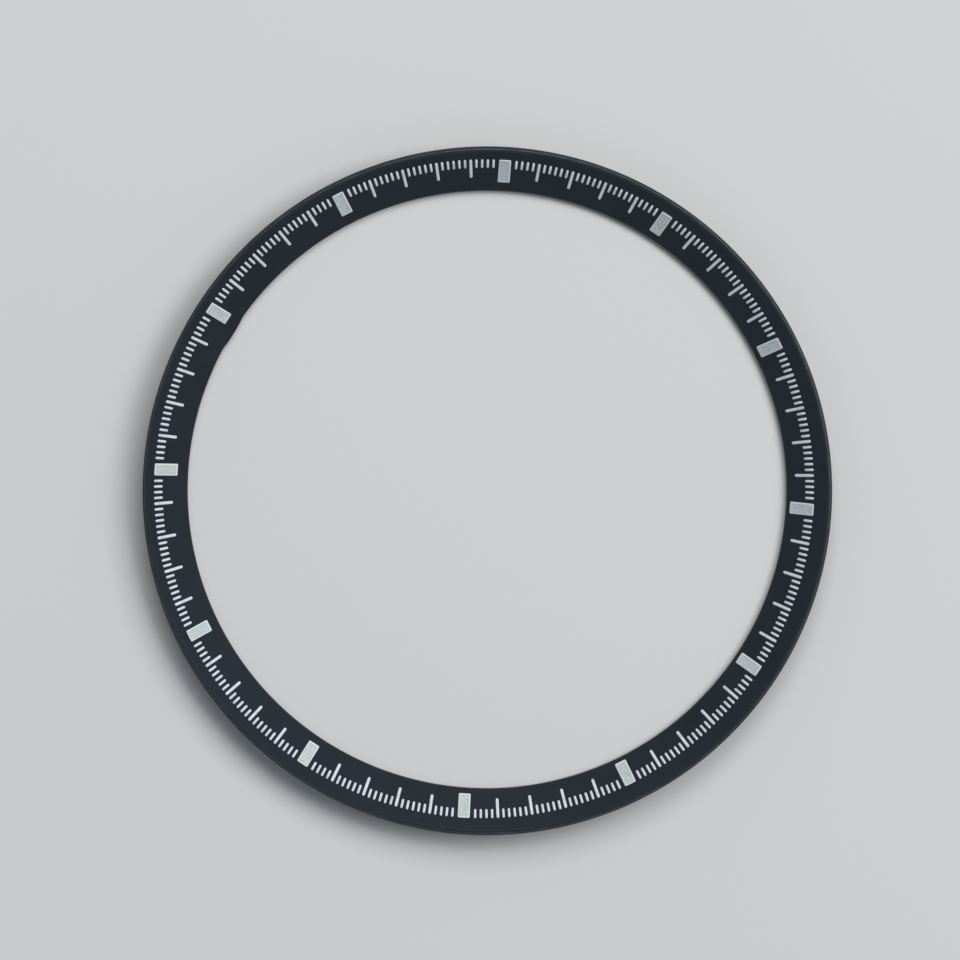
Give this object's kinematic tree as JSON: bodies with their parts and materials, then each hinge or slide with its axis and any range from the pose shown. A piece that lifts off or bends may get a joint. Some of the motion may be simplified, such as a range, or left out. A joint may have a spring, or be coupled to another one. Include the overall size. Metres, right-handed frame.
{
  "type": "watch chapter ring",
  "caption": "Funnel-shaped ring that stands round a watch dial and carries a printed minute track with raised luminous hour blocks.",
  "frame": {"origin": "on the ring's axis, in the plane of its flat foot", "axes": "+Z along the ring's axis, out of the dial towards the crystal; +Y towards the 12 o'clock block, +X towards the 3 o'clock block"},
  "size_m": [0.031, 0.031, 0.0017],
  "materials": {
    "ring_paint": "satin blue-black",
    "hour_lume": "matt luminous paint, fine grain",
    "track_ink": "matt printed ink"
  },
  "bodies": {
    "root": {"ring_body": "ring_paint", "hour_block_1": "hour_lume", "hour_block_2": "hour_lume", "hour_block_3": "hour_lume", "hour_block_4": "hour_lume", "hour_block_5": "hour_lume", "hour_block_6": "hour_lume", "hour_block_7": "hour_lume", "hour_block_8": "hour_lume", "hour_block_9": "hour_lume", "hour_block_10": "hour_lume", "hour_block_11": "hour_lume", "hour_block_12": "hour_lume", "minute_bars_1": "track_ink", "minute_bars_2": "track_ink", "minute_bars_3": "track_ink", "minute_bars_4": "track_ink", "minute_bars_5": "track_ink", "minute_bars_6": "track_ink", "minute_bars_7": "track_ink", "minute_bars_8": "track_ink", "minute_bars_9": "track_ink", "minute_bars_10": "track_ink", "minute_bars_11": "track_ink", "minute_bars_12": "track_ink", "ticks_1": "track_ink", "ticks_2": "track_ink", "ticks_3": "track_ink", "ticks_4": "track_ink", "ticks_5": "track_ink", "ticks_6": "track_ink", "ticks_7": "track_ink", "ticks_8": "track_ink", "ticks_9": "track_ink", "ticks_10": "track_ink", "ticks_11": "track_ink", "ticks_12": "track_ink"}
  },
  "joints": []
}
